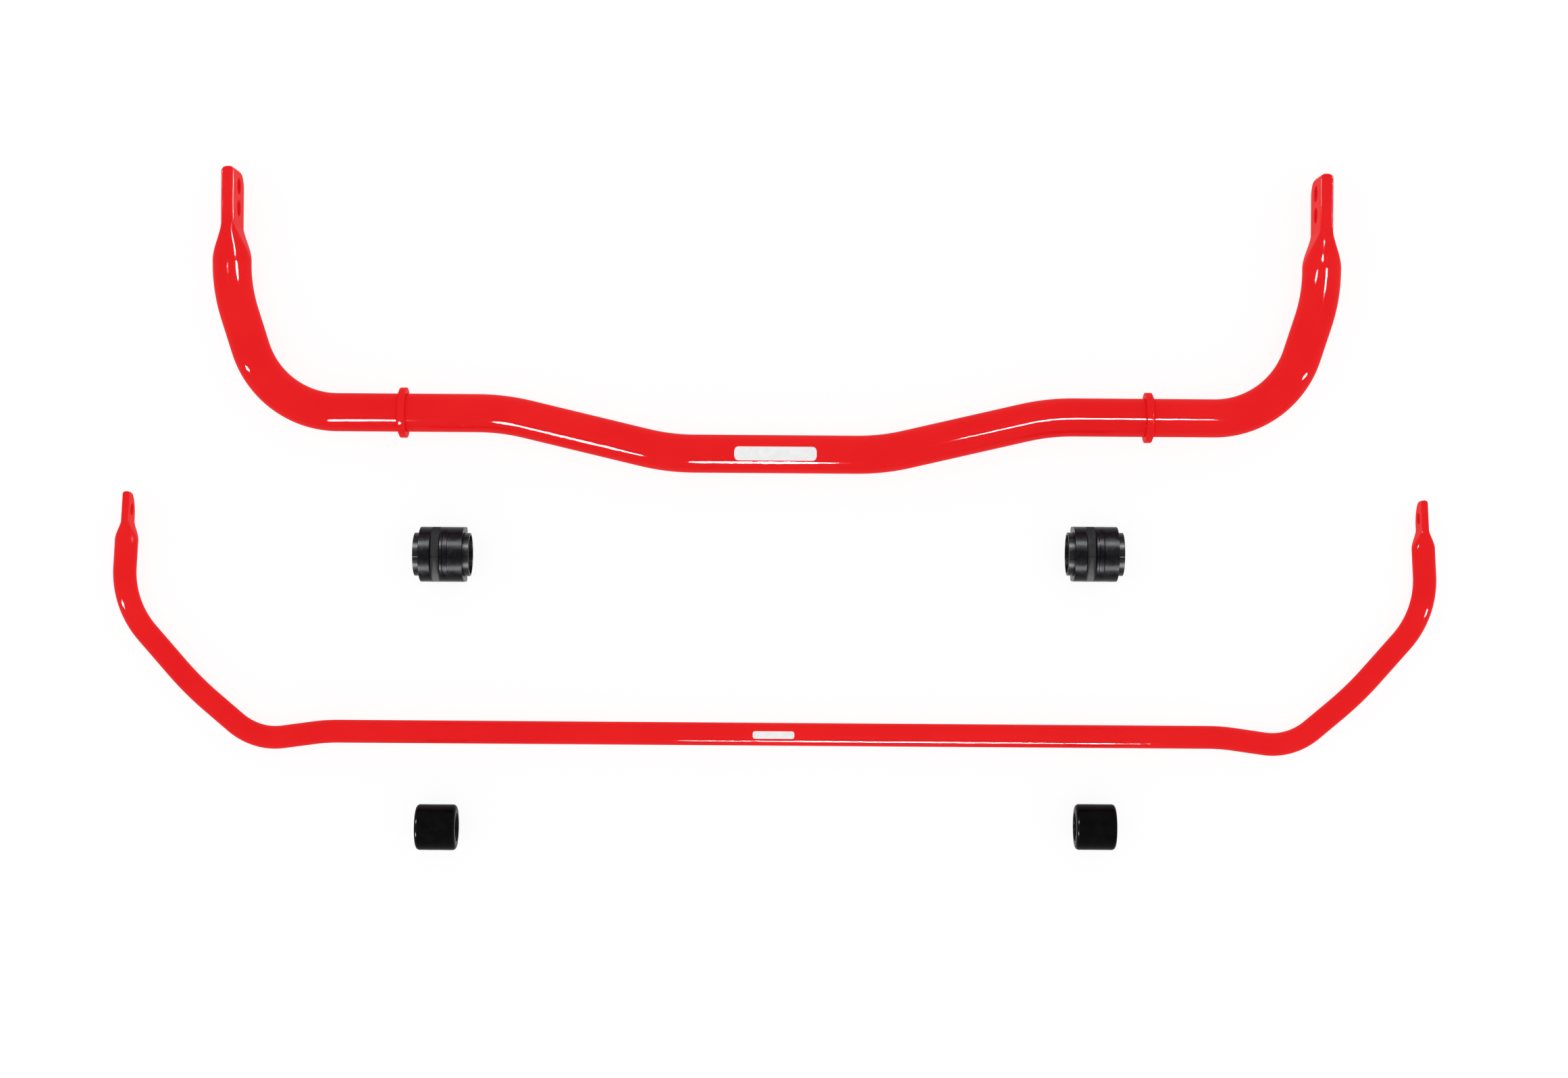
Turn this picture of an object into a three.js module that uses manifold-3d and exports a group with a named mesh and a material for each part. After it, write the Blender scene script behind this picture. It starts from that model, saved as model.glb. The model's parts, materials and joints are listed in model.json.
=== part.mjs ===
// A front and a rear anti-roll bar of a passenger car, laid out flat with their four bushes.
//
// Millimetres, +Z up. X runs along the bars, the bars' arms point to +Y, and everything lies
// on z = 0. The origin is at the middle of the layout, on the surface that it lies on.

import * as THREE from 'three';
import { mergeVertices } from 'three/addons/utils/BufferGeometryUtils.js';
import Module from 'manifold-3d';

const wasm = await Module();
wasm.setup();

// ---------------------------------------------------------------- driving dimensions

const degrees = THREE.MathUtils.degToRad;

const fitGap = 0.3; // radial clearance between a round piece and what goes round it
const endGap = 0.5; // between a stop ring and a fitted bush

const frontBar = {
  diameter: 35,
  halfSpan: 498.6, // X of the upright ends of the arms
  reach: 222, // shoulders' axis to the tip of an eyelet
  armBendRadius: 150,
  armLean: degrees(18), // the arms' lean between elbow and upper bend
  elbowRadius: 84,
  ringToElbow: 59.9, // middle of a stop ring to where the elbow starts
  seatMargin: 13, // free stretch between the jog and a fitted bush
  jogRun: 152.1, // how far the jog's corners lie apart along X
  jogDrop: 35.6, // how far the middle section lies behind the shoulders
  jogRadius: 200,
};

const frontEyelet = {
  thickness: 11.8,
  width: 45,
  flatLength: 52, // tip to where the neck starts
  neckLength: 34.2,
  lowerCorner: { along: 16, across: 25 }, // quarter ellipse on the underside of the tip
  upperCorner: { along: 3, across: 3 },
  edgeRound: 5, // the tip's rounding, seen from above
  holeDiameter: 14.5,
  holesFromTip: [16, 36],
};

const collar = {
  wall: 5.2,
  width: 8,
  chamfer: 1,
};

const frontBush = {
  length: 40,
  wall: 5.05, // bore to the round top
  baseWall: 2.9, // bore to the flat base
  baseCorner: 5,
  linerWall: 2,
  linerLength: 51,
  groove: { start: 11, width: 8, depth: 3 },
  recess: { start: 22, width: 4.4, depth: 1.2 },
  grooveFade: degrees(64), // how far from the top the grooves run out
  slitWidth: 0.9,
  slitSide: -2.3, // how far the slit lies from the plane through the bore's axis
};

const rearBar = {
  diameter: 21,
  halfSpan: 599.1, // X of the arms' upper bends
  reach: 218.4, // straight section's axis to the tip of an eyelet
  armLean: degrees(3.1), // the arms' ends lean inwards
  armTop: 23.3, // round straight stretch below an eyelet's neck
  armBendRadius: 85,
  upperSlant: degrees(48.9), // the slanting part's rise, above and below its slight bend
  lowerSlant: degrees(40.4),
  slantBendUp: 40,
  slantBendRadius: 300,
  elbowDrop: 9.7, // how far the elbows lie behind the straight section
  elbowRadius: 55,
  jogRun: 66,
  jogRadius: 110,
};

const rearEyelet = {
  thickness: 6.3,
  width: 26,
  flatLength: 27,
  neckLength: 19,
  lowerCorner: { along: 25, across: 22 },
  upperCorner: { along: 2, across: 2 },
  edgeRound: 2.6,
  holeDiameter: 10.5,
  holesFromTip: [16.5],
};

const rearBush = {
  length: 36.9,
  wall: 8.1,
  endRound: 3.5,
  linerWall: 1.7,
  linerRecess: 1, // how far the liner's ends lie inside the bush's
  slitWidth: 0.9,
  slitSide: 0,
};

const layout = {
  barSpacing: 292.1, // front shoulders' axis to the rear bar's straight section
  // where the loose bushes lie: along X, and how far from the bar that they belong to
  frontBush: { left: { x: -303.9, below: 129.4 }, right: { x: 292.8, below: 125.1 } },
  rearBush: { left: { x: -308.1, below: 87.2 }, right: { x: 295, below: 82.8 } },
};

// how finely round things are cut
const frontBarSides = 24;
const rearBarSides = 16;
const ringSides = 32;
const holeSides = 24;
const bendStep = degrees(8);
const tipSteps = 5;
const neckSteps = 6;
const leastStep = 0.05; // sections closer than this are one

// ---------------------------------------------------------------- sizes that fit each other

const linerInner = (bar) => bar.diameter / 2 + fitGap;
const linerOuter = (bush, bar) => linerInner(bar) + bush.linerWall;
const bushInner = (bush, bar) => linerOuter(bush, bar) + fitGap;
const bushOuter = (bush, bar) => bushInner(bush, bar) + bush.wall;
const frontBushHeight = bushInner(frontBush, frontBar) + frontBush.baseWall;
const rearBushHeight = bushOuter(rearBush, rearBar);
const collarInner = frontBar.diameter / 2 + fitGap;
const collarOuter = collarInner + collar.wall;
const frontBarHeight = Math.max(collarOuter, frontEyelet.width / 2);

// ---------------------------------------------------------------- materials

const redPowderCoat = new THREE.MeshStandardMaterial({ color: 0xe8262a, roughness: 0.3, metalness: 0 });
const blackRubber = new THREE.MeshStandardMaterial({ color: 0x15161a, roughness: 0.45, metalness: 0 });
const linerPlastic = new THREE.MeshStandardMaterial({ color: 0x26272b, roughness: 0.35, metalness: 0 });

// ---------------------------------------------------------------- solids

// A closed manifold-3d solid from a three.js geometry.
function solid(geometry) {
  const bare = geometry.index ? geometry.toNonIndexed() : geometry.clone();
  bare.deleteAttribute('normal');
  bare.deleteAttribute('uv');
  const merged = mergeVertices(bare, 1e-4);
  const mesh = new wasm.Mesh({
    numProp: 3,
    vertProperties: new Float32Array(merged.attributes.position.array),
    triVerts: new Uint32Array(merged.index.array),
  });
  return new wasm.Manifold(mesh);
}

// The three.js geometry of a manifold-3d solid.
function geometryOf(body) {
  const mesh = body.getMesh();
  const geometry = new THREE.BufferGeometry();
  geometry.setAttribute('position', new THREE.BufferAttribute(mesh.vertProperties, 3));
  geometry.setIndex(new THREE.BufferAttribute(mesh.triVerts, 1));
  geometry.computeVertexNormals();
  return geometry;
}

// A ring or tube round the X axis, from a closed profile of [distance along X, radius] points.
function ringAlongX(profile) {
  const points = profile.map(([along, radius]) => new THREE.Vector2(radius, along));
  points.push(points[0].clone());
  const ring = new THREE.LatheGeometry(points, ringSides);
  ring.rotateZ(-Math.PI / 2);
  return ring;
}

// ---------------------------------------------------------------- a bar's centre line

// A bend: part of a circle that leaves `start` along `direction` and turns towards `normal`.
class BendCurve extends THREE.Curve {
  constructor(start, direction, normal, radius, angle) {
    super();
    this.start = start;
    this.direction = direction;
    this.normal = normal;
    this.radius = radius;
    this.angle = angle;
  }

  getPoint(t, target = new THREE.Vector3()) {
    const turned = this.angle * t;
    return target
      .copy(this.start)
      .addScaledVector(this.direction, this.radius * Math.sin(turned))
      .addScaledVector(this.normal, this.radius * (1 - Math.cos(turned)));
  }
}

// How much straight line a bend of `radius` that turns by `angle` takes on each side.
function bendTangent(radius, angle) {
  return radius * Math.tan(angle / 2);
}

// The line through `corners`, each with its bend radius; the first and the last are the ends.
function bentLine(corners) {
  const path = new THREE.CurvePath();
  let from = corners[0].point;
  for (let i = 1; i < corners.length - 1; i++) {
    const { point, radius } = corners[i];
    const before = point.clone().sub(corners[i - 1].point).normalize();
    const after = corners[i + 1].point.clone().sub(point).normalize();
    const angle = before.angleTo(after);
    const tangent = bendTangent(radius, angle);
    const start = point.clone().addScaledVector(before, -tangent);
    const normal = after.clone().addScaledVector(before, -after.dot(before)).normalize();
    path.add(new THREE.LineCurve3(from, start));
    path.add(new BendCurve(start, before, normal, radius, angle));
    from = point.clone().addScaledVector(after, tangent);
  }
  path.add(new THREE.LineCurve3(from, corners.at(-1).point));
  return path;
}

// Mirrors the right half of a bar, given from the middle outwards, into the whole bar.
function mirrored(rightHalf) {
  const leftHalf = rightHalf.map(({ point, radius }) => ({
    point: new THREE.Vector3(-point.x, point.y, point.z),
    radius,
  }));
  return [...leftHalf.reverse(), ...rightHalf];
}

function corner(x, y, z, radius = 0) {
  return { point: new THREE.Vector3(x, y, z), radius };
}

// Where the front bar's corners and stop rings lie, from the arms' ends inwards.
function frontPlaces() {
  const bar = frontBar;
  const armBendTangent = bendTangent(bar.armBendRadius, bar.armLean);
  const armBendUp = bar.reach - frontEyelet.flatLength - frontEyelet.neckLength - armBendTangent;
  const elbowHalf = bar.halfSpan - armBendUp * Math.tan(bar.armLean);
  const elbowTangent = bendTangent(bar.elbowRadius, degrees(90) - bar.armLean);
  const ringHalf = elbowHalf - elbowTangent - bar.ringToElbow;
  const jogAngle = Math.atan2(bar.jogDrop, bar.jogRun);
  const seatLength = bar.seatMargin + frontBush.linerLength + endGap + collar.width / 2;
  const shoulderHalf = ringHalf - seatLength - bendTangent(bar.jogRadius, jogAngle);
  const middleHalf = shoulderHalf - bar.jogRun;
  return { armBendUp, elbowHalf, ringHalf, shoulderHalf, middleHalf };
}

function frontCentreLine() {
  const bar = frontBar;
  const places = frontPlaces();
  return bentLine(mirrored([
    corner(places.middleHalf, -bar.jogDrop, frontBarHeight, bar.jogRadius),
    corner(places.shoulderHalf, 0, frontBarHeight, bar.jogRadius),
    corner(places.elbowHalf, 0, frontBarHeight, bar.elbowRadius),
    corner(bar.halfSpan, places.armBendUp, frontBarHeight, bar.armBendRadius),
    corner(bar.halfSpan, bar.reach, frontBarHeight),
  ]));
}

// The straight section lies as high as a bush's bore, the elbows and eyelets on the surface.
function rearCentreLine() {
  const bar = rearBar;
  const elbowHeight = bar.diameter / 2;
  const tipHeight = Math.max(rearEyelet.width, bar.diameter) / 2;
  const armBendTurn = degrees(90) - bar.upperSlant + bar.armLean;
  const armEnd = rearEyelet.flatLength + rearEyelet.neckLength + bar.armTop;
  const armBendUp = bar.reach - armEnd - bendTangent(bar.armBendRadius, armBendTurn);
  const slantBendHalf = bar.halfSpan - (armBendUp - bar.slantBendUp) / Math.tan(bar.upperSlant);
  const elbowHalf = slantBendHalf - (bar.slantBendUp + bar.elbowDrop) / Math.tan(bar.lowerSlant);
  const tipHalf = bar.halfSpan - (bar.reach - armBendUp) * Math.tan(bar.armLean);
  return bentLine(mirrored([
    corner(elbowHalf - bar.jogRun, 0, rearBushHeight, bar.jogRadius),
    corner(elbowHalf, -bar.elbowDrop, elbowHeight, bar.elbowRadius),
    corner(slantBendHalf, bar.slantBendUp, (elbowHeight + tipHeight) / 2, bar.slantBendRadius),
    corner(bar.halfSpan, armBendUp, tipHeight, bar.armBendRadius),
    corner(tipHalf, bar.reach, tipHeight),
  ]));
}

// ---------------------------------------------------------------- a bar's body

// How much a quarter ellipse takes off, `fromTip` along from where it ends.
function takenOff({ along, across }, fromTip) {
  if (fromTip >= along) {
    return 0;
  }
  const left = 1 - fromTip / along;
  return across * (1 - Math.sqrt(1 - left * left));
}

// Distances from the tip at which an eyelet and its neck get a section.
function eyeletDistances(eyelet) {
  const { lowerCorner, edgeRound, flatLength, neckLength } = eyelet;
  const distances = new Set([0, edgeRound, lowerCorner.along, flatLength]);
  for (let i = 1; i < tipSteps; i++) {
    const share = 1 - Math.cos((i / tipSteps) * (Math.PI / 2));
    distances.add(edgeRound * share);
    distances.add(lowerCorner.along * share);
  }
  for (let i = 1; i <= neckSteps; i++) {
    distances.add(flatLength + (neckLength * i) / neckSteps);
  }
  return [...distances].sort((a, b) => a - b);
}

// The centre line's point, `along` from its start, with the directions across and up there.
function placeOn(path, along) {
  const share = THREE.MathUtils.clamp(along / path.getLength(), 0, 1);
  const point = path.getPoint(share);
  const tangent = path.getTangent(share);
  const side = new THREE.Vector3(0, 0, 1).cross(tangent).normalize();
  const up = tangent.clone().cross(side);
  return { point, side, up };
}

// Where the bar gets a section: at both eyelets and along each bend.
function barStations(path, eyelet) {
  const length = path.getLength();
  const alongs = [];
  for (const distance of eyeletDistances(eyelet)) {
    alongs.push(distance, length - distance);
  }
  let curveStart = 0;
  for (const curve of path.curves) {
    const curveLength = curve.getLength();
    const steps = curve instanceof BendCurve ? Math.ceil(curve.angle / bendStep) : 1;
    for (let i = 0; i < steps; i++) {
      alongs.push(curveStart + (curveLength * i) / steps);
    }
    curveStart += curveLength;
  }
  alongs.sort((a, b) => a - b);
  return alongs
    .filter((along, i) => i === 0 || along - alongs[i - 1] > leastStep)
    .map((along) => ({ ...placeOn(path, along), fromTip: Math.min(along, length - along) }));
}

// A point of the bar's section, from the same point (cosine, sine) of the unit circle.
function sectionPoint(cosine, sine, fromTip, bar, eyelet) {
  const radius = bar.diameter / 2;
  const toNeckEnd = (fromTip - eyelet.flatLength) / eyelet.neckLength;
  const roundness = THREE.MathUtils.smoothstep(toNeckEnd, 0, 1);
  const edge = { along: eyelet.edgeRound, across: eyelet.edgeRound };
  const halfThickness = eyelet.thickness / 2 - takenOff(edge, fromTip);
  const top = eyelet.width / 2 - takenOff(eyelet.upperCorner, fromTip);
  const bottom = -eyelet.width / 2 + takenOff(eyelet.lowerCorner, fromTip);
  const toSquare = 1 / Math.max(Math.abs(cosine), Math.abs(sine));
  const flatAcross = halfThickness * cosine * toSquare;
  const flatUp = (top + bottom) / 2 + ((top - bottom) / 2) * sine * toSquare;
  return [
    THREE.MathUtils.lerp(flatAcross, radius * cosine, roundness),
    THREE.MathUtils.lerp(flatUp, radius * sine, roundness),
  ];
}

// The bar's body without its holes: a rod whose sections are put on the centre line one by one.
function barBody(path, bar, eyelet, sides) {
  const stations = barStations(path, eyelet);
  const circle = new THREE.Shape();
  for (let i = 0; i < sides; i++) {
    const angle = (i / sides) * 2 * Math.PI;
    const method = i === 0 ? 'moveTo' : 'lineTo';
    circle[method](Math.cos(angle), Math.sin(angle));
  }
  const steps = stations.length - 1;
  const rod = new THREE.ExtrudeGeometry(circle, { depth: steps, steps, bevelEnabled: false });
  const position = rod.attributes.position;
  const placed = new THREE.Vector3();
  for (let i = 0; i < position.count; i++) {
    const station = stations[Math.round(position.getZ(i))];
    const [across, up] = sectionPoint(position.getX(i), position.getY(i), station.fromTip, bar, eyelet);
    placed.copy(station.point).addScaledVector(station.side, across).addScaledVector(station.up, up);
    position.setXYZ(i, placed.x, placed.y, placed.z);
  }
  return solid(rod);
}

// The pin that cuts an eyelet's hole, `along` the bar's centre line.
function holeCutter(path, along, eyelet) {
  const { point, side } = placeOn(path, along);
  const radius = eyelet.holeDiameter / 2;
  const pinLength = 3 * eyelet.thickness; // well past both faces
  const pin = new THREE.CylinderGeometry(radius, radius, pinLength, holeSides);
  pin.applyQuaternion(new THREE.Quaternion().setFromUnitVectors(new THREE.Vector3(0, 1, 0), side));
  pin.translate(point.x, point.y, point.z);
  return solid(pin);
}

function barGeometry(path, bar, eyelet, sides) {
  let body = barBody(path, bar, eyelet, sides);
  for (const fromTip of eyelet.holesFromTip) {
    body = body.subtract(holeCutter(path, fromTip, eyelet));
    body = body.subtract(holeCutter(path, path.getLength() - fromTip, eyelet));
  }
  return geometryOf(body);
}

// ---------------------------------------------------------------- the other pieces

// A stop ring on the front bar, beside a bush.
function collarGeometry() {
  const half = collar.width / 2;
  const { chamfer } = collar;
  return ringAlongX([
    [-half, collarInner],
    [-half, collarOuter - chamfer],
    [-half + chamfer, collarOuter],
    [half - chamfer, collarOuter],
    [half, collarOuter - chamfer],
    [half, collarInner],
  ]);
}

// The thin cut through one wall of a bush or liner, by which it is opened over the bar.
function slitCutter({ slitWidth, slitSide }, length, reach) {
  const cutter = new THREE.BoxGeometry(2 * length, slitWidth, Math.abs(reach));
  cutter.translate(0, slitSide, reach / 2);
  return solid(cutter);
}

// A liner: the slippery split tube between the bar and a bush.
function linerGeometry(bush, bar, length, slitReach) {
  const inner = linerInner(bar);
  const outer = linerOuter(bush, bar);
  const tube = ringAlongX([
    [-length / 2, inner],
    [-length / 2, outer],
    [length / 2, outer],
    [length / 2, inner],
  ]);
  return geometryOf(solid(tube).subtract(slitCutter(bush, length, slitReach)));
}

// A groove that is deepest at the top of the bush and runs out on its sides, where its
// round top ends: the cutter's hole is a circle larger than the bush's and set lower.
function fadingGroove({ start, width, depth }) {
  const cosine = Math.cos(frontBush.grooveFade);
  const lowered = depth / (1 - cosine);
  const inner = bushOuter(frontBush, frontBar) + lowered * cosine;
  const from = start - frontBush.length / 2;
  const ring = ringAlongX([
    [from, inner],
    [from, 2 * inner],
    [from + width, 2 * inner],
    [from + width, inner],
  ]);
  ring.translate(0, 0, -lowered);
  const cutter = solid(ring);
  const above = new THREE.BoxGeometry(frontBush.length, 4 * inner, 2 * inner);
  above.translate(0, 0, inner);
  return cutter.intersect(solid(above));
}

// The front bush: a block with a round top and a flat base.
function frontBushGeometry() {
  const { length, baseCorner } = frontBush;
  const half = bushOuter(frontBush, frontBar);
  const axisToBase = frontBushHeight;
  const outline = new THREE.Shape();
  outline.moveTo(-half + baseCorner, -axisToBase);
  outline.lineTo(half - baseCorner, -axisToBase);
  outline.absarc(half - baseCorner, baseCorner - axisToBase, baseCorner, -Math.PI / 2, 0);
  outline.absarc(0, 0, half, 0, Math.PI);
  outline.absarc(baseCorner - half, baseCorner - axisToBase, baseCorner, Math.PI, 1.5 * Math.PI);
  const bore = new THREE.Path();
  bore.absarc(0, 0, bushInner(frontBush, frontBar), 0, 2 * Math.PI);
  outline.holes.push(bore);
  const curveSegments = ringSides / 2;
  const block = new THREE.ExtrudeGeometry(outline, { depth: length, bevelEnabled: false, curveSegments });
  block.translate(0, 0, -length / 2);
  block.rotateY(Math.PI / 2);
  block.rotateX(Math.PI / 2);
  return geometryOf(
    solid(block)
      .subtract(fadingGroove(frontBush.groove))
      .subtract(fadingGroove(frontBush.recess))
      .subtract(slitCutter(frontBush, length, 2 * half)),
  );
}

// The rear bush: a plain cylinder with rounded ends.
function rearBushGeometry() {
  const { length, endRound } = rearBush;
  const inner = bushInner(rearBush, rearBar);
  const outer = bushOuter(rearBush, rearBar);
  const roundSteps = 3;
  const profile = [[-length / 2, inner]];
  for (const end of [-1, 1]) {
    for (let i = 0; i <= roundSteps; i++) {
      const angle = ((end < 0 ? i : roundSteps - i) / roundSteps) * (Math.PI / 2);
      const along = end * (length / 2 - endRound + endRound * Math.cos(angle));
      profile.push([along, outer - endRound + endRound * Math.sin(angle)]);
    }
  }
  profile.push([length / 2, inner]);
  return geometryOf(solid(ringAlongX(profile)).subtract(slitCutter(rearBush, length, -2 * outer)));
}

// ---------------------------------------------------------------- the kit

function piece(name, geometry, material, x = 0, y = 0, z = 0) {
  const mesh = new THREE.Mesh(geometry, material);
  mesh.name = name;
  mesh.position.set(x, y, z);
  return mesh;
}

function frontSet() {
  const set = new THREE.Group();
  const bar = barGeometry(frontCentreLine(), frontBar, frontEyelet, frontBarSides);
  set.add(piece('front_bar', bar, redPowderCoat));
  const { ringHalf } = frontPlaces();
  for (const [side, ringX] of [['left', -ringHalf], ['right', ringHalf]]) {
    const { x, below } = layout.frontBush[side];
    const slitReach = 2 * bushOuter(frontBush, frontBar);
    const liner = linerGeometry(frontBush, frontBar, frontBush.linerLength, slitReach);
    set.add(
      piece(`front_collar_${side}`, collarGeometry(), redPowderCoat, ringX, 0, frontBarHeight),
      piece(`front_bush_${side}`, frontBushGeometry(), blackRubber, x, -below, frontBushHeight),
      piece(`front_liner_${side}`, liner, linerPlastic, x, -below, frontBushHeight),
    );
  }
  return set;
}

function rearSet() {
  const set = new THREE.Group();
  const bar = barGeometry(rearCentreLine(), rearBar, rearEyelet, rearBarSides);
  set.add(piece('rear_bar', bar, redPowderCoat));
  for (const side of ['left', 'right']) {
    const { x, below } = layout.rearBush[side];
    const linerLength = rearBush.length - 2 * rearBush.linerRecess;
    const liner = linerGeometry(rearBush, rearBar, linerLength, -2 * rearBushHeight);
    set.add(
      piece(`rear_bush_${side}`, rearBushGeometry(), blackRubber, x, -below, rearBushHeight),
      piece(`rear_liner_${side}`, liner, linerPlastic, x, -below, rearBushHeight),
    );
  }
  set.position.y = -layout.barSpacing;
  return set;
}

const kit = new THREE.Group();
kit.add(frontSet(), rearSet());

// the layout's middle goes to the origin
const farthestRearBush = Math.max(layout.rearBush.left.below, layout.rearBush.right.below);
const rearBushEdgeY = -layout.barSpacing - farthestRearBush - rearBushHeight;
kit.position.y = -(frontBar.reach + rearBushEdgeY) / 2;

export default kit;
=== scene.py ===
"""A front and a rear anti-roll bar with their four bushes, laid out on a pale floor.

Metres, +Z up, in the frame of the CAD model: X runs along the bars, their arms point to +Y.
"""
import json
import math

import bmesh
import bpy
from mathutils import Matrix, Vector

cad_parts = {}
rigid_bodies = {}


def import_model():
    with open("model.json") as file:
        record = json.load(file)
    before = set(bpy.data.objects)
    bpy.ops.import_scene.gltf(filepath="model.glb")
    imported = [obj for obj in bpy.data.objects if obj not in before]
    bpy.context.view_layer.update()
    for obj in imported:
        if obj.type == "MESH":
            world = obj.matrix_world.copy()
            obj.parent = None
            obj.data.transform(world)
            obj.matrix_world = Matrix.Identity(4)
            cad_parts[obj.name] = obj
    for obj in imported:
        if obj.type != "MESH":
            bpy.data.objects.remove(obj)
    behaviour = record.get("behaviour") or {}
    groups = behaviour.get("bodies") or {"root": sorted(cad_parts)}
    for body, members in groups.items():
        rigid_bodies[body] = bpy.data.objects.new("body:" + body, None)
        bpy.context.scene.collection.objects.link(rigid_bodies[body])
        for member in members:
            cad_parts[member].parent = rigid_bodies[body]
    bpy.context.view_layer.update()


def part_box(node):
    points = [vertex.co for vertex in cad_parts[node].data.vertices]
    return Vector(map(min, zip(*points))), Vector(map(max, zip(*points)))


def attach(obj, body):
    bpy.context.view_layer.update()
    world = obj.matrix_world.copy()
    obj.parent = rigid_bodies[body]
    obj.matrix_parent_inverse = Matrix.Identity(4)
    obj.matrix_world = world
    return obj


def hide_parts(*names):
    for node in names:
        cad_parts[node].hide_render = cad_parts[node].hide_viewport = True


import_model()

MM = 0.001

# ---------------------------------------------------------------- driving dimensions

FIT_GAP = 0.3 * MM
END_GAP = 0.5 * MM

FRONT_BAR = dict(
    diameter=35 * MM, half_span=498.6 * MM, reach=222 * MM,
    arm_bend_radius=150 * MM, arm_lean=math.radians(18), elbow_radius=84 * MM,
    ring_to_elbow=59.9 * MM, seat_margin=13 * MM,
    jog_run=152.1 * MM, jog_drop=35.6 * MM, jog_radius=200 * MM,
)
FRONT_EYELET = dict(
    thickness=11.8 * MM, width=45 * MM, flat_length=52 * MM, neck_length=34.2 * MM,
    lower_corner=(16 * MM, 25 * MM), upper_corner=(3 * MM, 3 * MM), edge_round=5 * MM,
    hole_diameter=14.5 * MM, holes_from_tip=(16 * MM, 36 * MM),
)
COLLAR = dict(wall=5.2 * MM, width=8 * MM, slant=1.5 * MM, foot=0.8 * MM, edge_round=1.2 * MM)
FRONT_BUSH = dict(
    length=40 * MM, wall=5.05 * MM, base_wall=2.9 * MM, base_corner=5 * MM,
    liner_wall=2 * MM, liner_length=51 * MM,
    groove=(11 * MM, 8 * MM, 3 * MM), recess=(22 * MM, 4.4 * MM, 1.2 * MM),
    groove_fade=math.radians(64), slit_width=0.15 * MM, slit_side=-2.3 * MM, edge_round=0.6 * MM,
)
REAR_BAR = dict(
    diameter=21 * MM, half_span=599.1 * MM, reach=218.4 * MM,
    arm_lean=math.radians(3.1), arm_top=23.3 * MM, arm_bend_radius=85 * MM,
    upper_slant=math.radians(48.9), lower_slant=math.radians(40.4),
    slant_bend_up=40 * MM, slant_bend_radius=300 * MM,
    elbow_drop=9.7 * MM, elbow_radius=55 * MM, jog_run=66 * MM, jog_radius=110 * MM,
)
REAR_EYELET = dict(
    thickness=6.3 * MM, width=26 * MM, flat_length=27 * MM, neck_length=19 * MM,
    lower_corner=(25 * MM, 22 * MM), upper_corner=(2 * MM, 2 * MM), edge_round=2.6 * MM,
    hole_diameter=10.5 * MM, holes_from_tip=(16.5 * MM,),
)
REAR_BUSH = dict(
    length=36.9 * MM, wall=8.1 * MM, liner_wall=1.7 * MM, liner_recess=1 * MM,
    end_round=3.5 * MM, slit_width=0.3 * MM, slit_side=0.0,
)
LABEL_LIFT = 0.12 * MM
LABEL_THICKNESS = 0.6 * LABEL_LIFT
LABEL_CORNER = 0.32
FRONT_LABEL = (75 * MM, 13 * MM)
REAR_LABEL = (38 * MM, 7 * MM)

# shares of an eyelet's sizes
HOLE_RIM = 0.045
EYELET_EDGE = 0.11
CORNER_GROWTH = 0.7

# a front bush's soft edges
GROOVE_SHOULDER = 1.6 * MM
RECESS_SHOULDER = 1.0 * MM
BORE_RIM = 0.5 * MM
FLOOR_EDGE = 0.8 * MM
# the soft edge of the painted highlight in the groove
GROOVE_HIGHLIGHT_EDGE = 1.2 * MM

# how finely things are cut
SAME_PLACE = 0.02 * MM
HOLE_SIDES = 72
BUSH_STATIONS = 120
LABEL_COLUMNS = 90
LABEL_ROWS = 24
PIECE_SHARP = math.radians(32)
BAR_SHARP = math.radians(30)
SLIT_SHARP = math.radians(35)
BAR_SIDES = 96
RING_SIDES = 160
BEND_STEP = math.radians(1.5)
ROUND_STEPS = 8
NECK_STEPS = 40
TIP_STEPS = 14

# ---------------------------------------------------------------- sizes that fit each other


def liner_radii(bush, bar):
    inner = bar["diameter"] / 2 + FIT_GAP
    return inner, inner + bush["liner_wall"]


def bush_radii(bush, bar):
    inner = liner_radii(bush, bar)[1] + FIT_GAP
    return inner, inner + bush["wall"]


def middle(node):
    low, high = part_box(node)
    return (low + high) / 2


COLLAR_INNER = FRONT_BAR["diameter"] / 2 + FIT_GAP
COLLAR_OUTER = COLLAR_INNER + COLLAR["wall"]
FRONT_HEIGHT = max(COLLAR_OUTER, FRONT_EYELET["width"] / 2)
FRONT_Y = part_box("front_bar")[1].y - FRONT_BAR["reach"]
REAR_HEIGHT = bush_radii(REAR_BUSH, REAR_BAR)[1]
REAR_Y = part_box("rear_bar")[1].y - REAR_BAR["reach"]

# the part of a noise's range that gets used
NOISE_LOW, NOISE_HIGH = 0.3, 0.7

# how bright the lamps are
BAR_GLOW = 420
FRONT_BUSH_GLOW = 260
REAR_BUSH_GLOW = 220
BACK_BAND_GLOW = 42
FRONT_BAND_GLOW = 36

FLOOR_REACH = 4.0
FLOOR_DROP = 0.5 * MM

# names of the values kept at a front bush's points
# the share of groove floor: made matt, and painted a flat darker shade
GROOVE_MATT_AND_SHADE = "groove_floor"
# the share of painted light grey highlight in the groove
GROOVE_HIGHLIGHT = "dust"

# ---------------------------------------------------------------- materials


def node_material(name):
    material = bpy.data.materials.new(name)
    material.use_nodes = True
    tree = material.node_tree
    return material, tree, tree.nodes["Principled BSDF"]


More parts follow.
